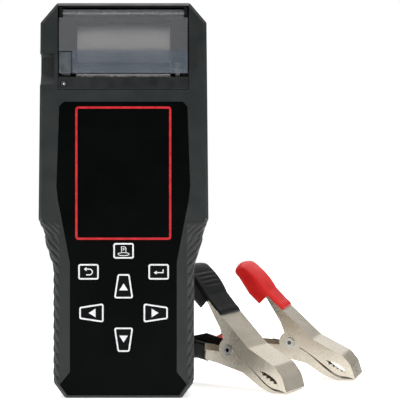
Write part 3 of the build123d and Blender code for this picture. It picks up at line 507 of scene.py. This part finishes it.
back_x, side_z = -small_key_x + pad_x, small_key_z
enter_x = small_key_x + pad_x
caps = {
    "print_key": key_box(pad_x, print_key_z, *small_key),
    "back_key": key_box(back_x, side_z, *small_key),
    "enter_key": key_box(enter_x, side_z, *small_key),
    "up_key": arrow_cap(0),
    "left_key": arrow_cap(1),
    "down_key": arrow_cap(2),
    "right_key": arrow_cap(3),
}
line_width = 0.95
for key, cap in caps.items():
    piece(
        key + "_outline",
        raised_ring(rounded(grown(cap, -0.2), key_corner - 0.3, 5),
                    rounded(grown(cap, -0.2 - line_width), 0.55, 5), cap_y, cap_y - print_rise),
        key, printed_white, smooth=False,
    )

signs = {}
sign_shift = 0.4
for turn, key in enumerate(("up_key", "left_key", "down_key", "right_key")):
    angle = turn * pi / 2
    middle = centre_of(caps[key])
    middle = (middle[0] + sign_shift * sin(angle), middle[1] - sign_shift * cos(angle))
    signs[key] = [arrow_sign(middle, turn)]

bend = arc((back_x + 0.6, side_z - 0.1), 1.75, 90, -90, 12)
hook = [(back_x - 1.6, side_z + 1.65)] + bend + [(back_x - 1.5, side_z - 1.85)]
signs["back_key"] = [
    stroke(hook, 0.62),
    [(back_x - 2.9, side_z + 1.65), (back_x - 1.2, side_z + 0.4), (back_x - 1.2, side_z + 2.9)],
]
signs["enter_key"] = [
    stroke([
        (enter_x + 2.7, side_z + 1.5), (enter_x + 2.7, side_z - 0.5), (enter_x - 1.4, side_z - 0.5),
    ], 0.62),
    [(enter_x - 3.0, side_z - 0.5), (enter_x - 1.2, side_z - 1.65), (enter_x - 1.2, side_z + 0.65)],
]
sheet_low, sheet_high = print_key_z - 0.9, print_key_z + 2.5
signs["print_key"] = [
    stroke([
        (pad_x - 1.3, sheet_low), (pad_x - 1.3, sheet_high), (pad_x + 0.6, sheet_high),
        (pad_x + 1.4, sheet_high - 0.8), (pad_x + 1.4, sheet_low),
    ], 0.4),
    stroke([(pad_x - 0.6, print_key_z + 0.2), (pad_x + 0.7, print_key_z + 1.3)], 0.4),
    stroke([(pad_x - 0.6, print_key_z + 1.2), (pad_x + 0.1, print_key_z + 1.7)], 0.35),
]
for key, outlines in signs.items():
    piece(key + "_sign", raised_plates(outlines, cap_y, cap_y - print_rise),
          key, printed_white, smooth=False)


def oval(x, z, half_x, half_z, count):
    """Points round an oval."""
    turns = [2 * pi * k / count for k in range(count)]
    return [(x + half_x * cos(t), z + half_z * sin(t)) for t in turns]


slot_outer = oval(pad_x, print_key_z - 2.0, 3.6, 1.15, 28)
slot_inner = oval(pad_x, print_key_z - 2.0, 3.2, 0.72, 28)
piece("print_key_slot_sign", raised_ring(slot_outer, slot_inner, cap_y, cap_y - print_rise, 0.02),
      "print_key", printed_white, smooth=False)


# ---------------------------------------------------------------- feed lamp, with its painted rim highlight and glint
lamp_x, lamp_z = -36.3, 191.9
lamp_outer = oval(lamp_x, lamp_z, 1.5, 1.5, 32)
lamp_inner = oval(lamp_x, lamp_z, 1.1, 1.1, 32)
lamp_glint_dot = oval(lamp_x, lamp_z, 0.5, 0.5, 20)
# Painted highlight: a lighter grey ring stands in for the light on the rim of the lamp's recess, and a
# white dot stands in for the glint on its lens.
piece("feed_lamp_painted_rim_highlight", raised_ring(lamp_outer, lamp_inner, front_y, front_y - print_rise, 0.02),
      "tester", lever_plastic, smooth=False)
piece("feed_lamp_painted_glint", raised_plates([lamp_glint_dot], front_y, front_y - print_rise),
      "tester", printed_white, smooth=False)


# ---------------------------------------------------------------- side grips
waist_half = 42.5
shoulder_half = 52.0
shoulder_z = 109.5
waist_top_z = 80.0
waist_radius = 14.0
shoulder_radius = 2.5
grip_inner_x = 38.6
grip_low_z = 9.6
grip_high_z = 107.9
grip_back_y = 12.9
rim_depth = 2.4
rim_inset = 1.875


def side_line():
    """The case's side as points of half-width and height, with its two bends rounded."""
    low = [(waist_half, -40.0), (waist_half, waist_top_z), (shoulder_half, shoulder_z), (-60.0, 60.0)]
    high = [(waist_half, waist_top_z), (shoulder_half, shoulder_z), (shoulder_half, 200.0), (-60.0, 200.0)]
    waist = [p for p in rounded(low, waist_radius, 24) if p[0] > 40.0 and p[1] < 100.0]
    shoulder = [p for p in rounded(high, shoulder_radius, 24) if p[0] > 40.0 and 100.0 < p[1] < 150.0]
    return waist + shoulder


side_points = sorted((z, x) for x, z in side_line())


def half_width(z):
    """The case's half-width at a height."""
    for (z0, x0), (z1, x1) in zip(side_points, side_points[1:]):
        if z0 <= z <= z1:
            return x0 + (x1 - x0) * (z - z0) / max(z1 - z0, 1e-6)
    return side_points[-1][1]


def leaf(value):
    """One rib: a steep rise, a rounded back and a sharp foot."""
    share = value % 1.0
    return sin(pi * share ** 0.75) ** 0.8


def side_grip(side):
    """A strip of slanted ribs that covers the case's rim; across is measured from the rim's edge."""
    rib_pitch = 7.0
    rib_rise = 1.15
    rows = 300
    face_steps = 14
    rim_steps = 5
    flank_steps = 22
    rim_width = 3.05
    flank_width = 26.4

    def place(z, k):
        """Point, outward direction, distance from the rim's edge and distance from the strip's edge."""
        wide = half_width(z)
        face = wide - rim_inset - grip_inner_x
        if k <= face_steps:
            share = k / face_steps
            return grip_inner_x + face * share, front_y, (0.0, -1.0), face * (share - 1), face * share
        if k <= face_steps + rim_steps:
            share = (k - face_steps) / rim_steps
            spot = (wide - rim_inset * (1 - share), front_y + rim_depth * share)
            return *spot, (0.79, -0.615), rim_width * share, face + rim_width * share
        down = flank_width * (k - face_steps - rim_steps) / flank_steps
        return wide, front_y + rim_depth + down, (1.0, 0.0), rim_width + down, flank_width - down

    def build(bm):
        grid = []
        relief = bm.verts.layers.float.new("relief")
        for i in range(rows + 1):
            z = grip_low_z + (grip_high_z - grip_low_z) * i / rows
            row = []
            for k in range(face_steps + rim_steps + flank_steps + 1):
                x, y, out, across, edge = place(z, k)
                fade = min(edge / 1.4, (z - grip_low_z) / 1.5, (grip_high_z - z) / 2.5, 1.0)
                slant = 1.9 * min(across, rim_width) + 0.85 * max(across - rim_width, 0.0)
                height = leaf((z - slant) / rib_pitch)
                rise = rib_rise * (height - 0.45) * max(fade, 0.0)
                row.append(bm.verts.new((
                    side * (x + out[0] * rise) * MM, (y + out[1] * rise) * MM, z * MM,
                )))
                # The rib height is kept for the painted shade between the ribs.
                row[-1][relief] = 0.5 + (height - 0.5) * max(fade, 0.0)
            # The strip turns in behind its two long edges.
            row.insert(0, bm.verts.new((side * grip_inner_x * MM, (front_y + 1.5) * MM, z * MM)))
            row.append(bm.verts.new((side * (half_width(z) - 1.5) * MM, grip_back_y * MM, z * MM)))
            grid.append(row)
        for low, high in zip(grid, grid[1:]):
            for i in range(len(low) - 1):
                bm.faces.new((low[i], low[i + 1], high[i + 1], high[i]))
        bm.faces.new(grid[0])
        bm.faces.new(grid[-1])
    return build


def ribbed_finish():
    """The grip rubber with painted shade between the ribs, darkest at each rib's foot; the backs of the
    ribs keep the rubber's own colour.
    """
    material = grip_rubber.copy()
    material.name = "ribbed_rubber_painted_shade"
    tree = material.node_tree
    shader = tree.nodes["Principled BSDF"]
    rubber = shader.inputs["Base Color"].links[0].from_socket
    relief = tree.nodes.new("ShaderNodeAttribute")
    relief.attribute_name = "relief"
    # Painted shade: the rubber is multiplied darker where the rib height is low, in the grooves between the
    # ribs.
    groove_shade = shades(tree, relief.outputs["Fac"], [tone(60, 60, 60), tone(160, 160, 160), tone(255, 255, 255)],
                  0.1, 0.98)
    blend = tree.nodes.new("ShaderNodeMix")
    blend.data_type = "RGBA"
    blend.blend_type = "MULTIPLY"
    blend.inputs[0].default_value = 1.0
    tree.links.new(rubber, blend.inputs[6])
    tree.links.new(groove_shade, blend.inputs[7])
    tree.links.new(blend.outputs[2], shader.inputs["Base Color"])
    return material


ribbed_rubber_painted_shade = ribbed_finish()
for name, side in (("left", -1), ("right", 1)):
    strip = piece(name + "_ribbed_grip", side_grip(side), "tester", ribbed_rubber_painted_shade)
    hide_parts(name + "_grip")

# ---------------------------------------------------------------- clamps
clamp_frames = {
    "black": ((71.2, 29.8, 25.9), (0.700, -0.531, -0.478), (-0.640, -0.763, -0.089)),
    "red": ((111.2, 80.8, 25.6), (0.840, -0.280, -0.465), (-0.367, -0.924, -0.107)),
}
handle_ends = {"upper": (-52.0, 30.0), "lower": (-44.0, -27.2)}
upper_bend = (-14.0, 17.4)
lower_bend = (-5.0, -13.5)
clamp_width = 20.0
lower_width = 17.0
skirt_ends = {"black_upper": -27.6, "black_lower": -15.5, "red_upper": -27.6, "red_lower": -27.6}
grip_end_u = -14.5


def clamp_grip(pivot, u_axis, side_axis, half, tag):
    """A moulded grip: a round-ended sleeve on a handle, with a tongue on the handle's back."""
    origin = Vector(pivot)
    u_dir = Vector(u_axis).normalized()
    s_dir = Vector(side_axis).normalized()
    v_dir = s_dir.cross(u_dir).normalized()
    sign = 1 if half == "upper" else -1
    bend = upper_bend if half == "upper" else lower_bend
    width = (clamp_width if half == "upper" else lower_width) / 2 + 1.2
    handle_u, handle_v = handle_ends[half]
    slope = (bend[1] - handle_v) / (bend[0] - handle_u)
    run = (1 + slope ** 2) ** 0.5
    along = Vector((1 / run, slope / run))
    out = Vector((-slope / run, 1 / run)) * sign

    def to_world(t, rise, s):
        """t along the handle from its end, rise away from the other half, s sideways."""
        u = handle_u + along.x * t + out.x * rise
        v = handle_v + along.y * t + out.y * rise
        return (origin + u_dir * u + v_dir * v + s_dir * s) * MM

    length_web = (grip_end_u - handle_u) * run
    length_skirt = (skirt_ends[f"{tag}_{half}"] - handle_u) * run
    core = 3.0
    stations = [-4.0, -3.6, -2.8, -1.8, -0.8, 0.3, 1.5, 3.2, 6.0]
    stations += [6.0 + (length_skirt - 6.0) * k / 34 for k in range(1, 35)]

    def tail(t):
        """How full the section is: the grip closes in an arc past the handle's end."""
        return (1 - (max(0.0, 0.3 - t) / 4.6) ** 2) ** 0.5

    def crown(t):
        """How far the back of the grip stands over the handle."""
        swell = max(0.0, 1 - ((t - 11.0) / 13.0) ** 2)
        return (1.2 + 1.5 * swell + core) * tail(t) - core

    def half_wide(t):
        swell = max(0.0, 1 - ((t - 10.0) / 14.0) ** 2)
        return (width + 0.9 * swell) * tail(t)

    def depth(t):
        """How far the skirt reaches over the handle's sides."""
        opening = min(1.0, max(0.0, (t - 4.0) / 12.0))
        deepest = 11.0 if (tag, half) == ("black", "lower") else 8.8
        return (6.2 + (deepest - 6.2) * opening - core) * tail(t) + core

    def groove(t):
        cut = 0.0
        for k in range(4):
            away = abs(t - (6.5 + 3.4 * k)) / 0.8
            if away < 1 and tag == "black":
                cut = max(cut, 0.55 * (1 - away ** 2))
        return cut

    def section(t):
        """One cross-section, round-cornered, from the skirt's foot over the back and down."""
        wide, top, deep = half_wide(t), crown(t), depth(t)
        radius = min(3.2, wide * 0.45)
        line = [(wide, -deep)]
        line += [(wide, -deep * (1 - k / 4) + (top - radius) * k / 4) for k in range(1, 4)]
        line += [(wide - radius + radius * cos(a), top - radius + radius * sin(a))
                 for a in (radians(90 * k / 6) for k in range(0, 7))]
        line += [((wide - radius) * (1 - k / 3), top + 0.35 * k / 3) for k in (1, 2, 3)]
        cut = groove(t)
        shaped = []
        for s, rise in line:
            flat = max(0.0, 1 - (abs(s) / (wide * 0.74)) ** 6)
            shaped.append((s, rise - (cut * flat if rise > top - 0.6 else 0.0)))
        return shaped + [(-s, rise) for s, rise in shaped[-2::-1]]

    def build(bm):
        rows = []
        for t in stations:
            rows.append([bm.verts.new(to_world(t, rise, s)) for s, rise in section(t)])
        for low, high in zip(rows, rows[1:]):
            for i in range(len(low) - 1):
                bm.faces.new((low[i], low[i + 1], high[i + 1], high[i]))
        # The foot of the skirt turns under, and the tail end closes.
        inner = []
        for t in stations:
            wide, deep = half_wide(t), depth(t)
            inner.append([bm.verts.new(to_world(t, -deep, s)) for s in (wide - 1.2, 1.2 - wide)])
        for i in range(len(stations) - 1):
            bm.faces.new((rows[i][0], inner[i][0], inner[i + 1][0], rows[i + 1][0]))
            bm.faces.new((rows[i][-1], inner[i][1], inner[i + 1][1], rows[i + 1][-1]))
        bm.faces.new(rows[0] + [inner[0][1], inner[0][0]])
        # The tongue runs on past the skirt along the handle's back.
        tongue = []
        last = section(stations[-1])
        keep = [i for i, (s, rise) in enumerate(last) if rise > -1.0]
        start = [rows[-1][i] for i in keep]
        for k in range(1, 9):
            t = length_skirt + (length_web - length_skirt) * k / 8
            shrink = 1 - 0.04 * k / 8
            lip = 0.35 * sin(pi * min(1.0, max(0.0, (k - 5) / 3))) if k > 5 else 0.0
            tongue.append([
                bm.verts.new(to_world(t, max(last[i][1], -0.9) + lip, last[i][0] * shrink)) for i in keep
            ])
        for low, high in zip([start] + tongue, tongue):
            for i in range(len(low) - 1):
                bm.faces.new((low[i], low[i + 1], high[i + 1], high[i]))
        bm.faces.new(tongue[-1])
        # The open edge of the skirt where it stops short of the tongue.
        skirt_t = stations[-1]
        for edge in (range(keep[0] + 1), range(keep[-1], len(last))):
            lip = [rows[-1][i] for i in edge]
            within = [
                bm.verts.new(to_world(skirt_t, last[i][1], last[i][0] * (1 - 1.1 / abs(last[i][0]))))
                for i in edge
            ]
            for i in range(len(edge) - 1):
                bm.faces.new((lip[i], lip[i + 1], within[i + 1], within[i]))
    return build


for tag, (pivot, u_axis, side_axis) in clamp_frames.items():
    finish_of = grip_black if tag == "black" else grip_red
    for half in ("upper", "lower"):
        body = tag + "_clamp" + ("_upper" if half == "upper" else "")
        sleeve = piece(
            tag + "_" + half + "_sleeve", clamp_grip(pivot, u_axis, side_axis, half, tag),
            body, finish_of,
        )
        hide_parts(tag + "_" + half + "_grip")


def bending_spring(tag):
    """The return spring: the CAD shape, copied and baked in place."""
    source = frame["nodes"][tag + "_spring"]

    def build(bm):
        bm.from_mesh(source.data)
        bm.transform(source.matrix_world)

    spring = piece(tag + "_bending_spring", build, None, bright_steel)
    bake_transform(spring)
    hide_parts(tag + "_spring")


for tag, (pivot, u_axis, side_axis) in clamp_frames.items():
    bending_spring(tag)


# ---------------------------------------------------------------- floor, light and camera
def floor():
    mesh = bpy.data.meshes.new("floor")
    bm = bmesh.new()
    corners = [(-1.6, -1.2), (1.6, -1.2), (1.6, 1.6), (-1.6, 1.6)]
    bm.faces.new([bm.verts.new((x, y, -0.0002)) for x, y in corners])
    bm.to_mesh(mesh)
    bm.free()
    obj = bpy.data.objects.new("floor", mesh)
    scene.collection.objects.link(obj)
    pale = finish("pale_floor", [tone(246, 246, 246), tone(250, 250, 250)], (0.8, 0.9),
                  patch=3, grain=60, depth=0.02,
                  settings={"Specular IOR Level": 0.1, "Emission Color": (1.0, 1.0, 1.0, 1.0),
                            "Emission Strength": 0.55})
    mesh.materials.append(pale)


floor()


def softbox(name, place, aim, size, power):
    light = bpy.data.lights.new(name, "AREA")
    light.shape = "RECTANGLE"
    light.size, light.size_y = size
    light.energy = power
    obj = bpy.data.objects.new(name, light)
    obj.location = place
    obj.rotation_euler = (Vector(aim) - Vector(place)).to_track_quat("-Z", "Y").to_euler()
    scene.collection.objects.link(obj)


softbox("top_softbox", (0.0, 0.1, 2.2), (0.05, 0.0, 0.1), (2.6, 2.6), 50)
softbox("left_softbox", (-1.5, -0.9, 1.0), (0.0, 0.0, 0.12), (1.2, 1.4), 13)
softbox("right_softbox", (1.6, -0.8, 0.9), (0.05, 0.0, 0.1), (1.2, 1.4), 8)
softbox("back_softbox", (0.4, 1.8, 1.2), (0.05, 0.0, 0.1), (1.4, 1.2), 4)

world = bpy.data.worlds.new("studio")
scene.world = world
world.use_nodes = True
tree = world.node_tree
backdrop = tree.nodes["Background"]
backdrop.inputs["Strength"].default_value = 1.0
path = tree.nodes.new("ShaderNodeLightPath")
place = tree.nodes.new("ShaderNodeTexCoord")
split = tree.nodes.new("ShaderNodeSeparateXYZ")
tree.links.new(place.outputs["Generated"], split.inputs["Vector"])
sky = tree.nodes.new("ShaderNodeValToRGB")
sky.color_ramp.elements[0].position = 0.02
sky.color_ramp.elements[0].color = (0.10, 0.10, 0.105, 1)
sky.color_ramp.elements[1].position = 0.5
sky.color_ramp.elements[1].color = (0.42, 0.42, 0.42, 1)
tree.links.new(split.outputs["Z"], sky.inputs["Fac"])
choose = tree.nodes.new("ShaderNodeMix")
choose.data_type = "RGBA"
tree.links.new(path.outputs["Is Camera Ray"], choose.inputs["Factor"])
tree.links.new(sky.outputs["Color"], choose.inputs[6])
choose.inputs[7].default_value = (1.0, 1.0, 1.0, 1.0)
tree.links.new(choose.outputs[2], backdrop.inputs["Color"])

camera_data = bpy.data.cameras.new("camera")
camera_data.lens = 118
camera_data.sensor_width = 36
camera_data.clip_end = 20
camera = bpy.data.objects.new("camera", camera_data)
camera.location = (0.0468, -0.816, 0.121)
camera.rotation_euler = (radians(90), 0, 0)
scene.collection.objects.link(camera)
scene.camera = camera

scene.view_settings.view_transform = "Standard"
scene.view_settings.look = "None"
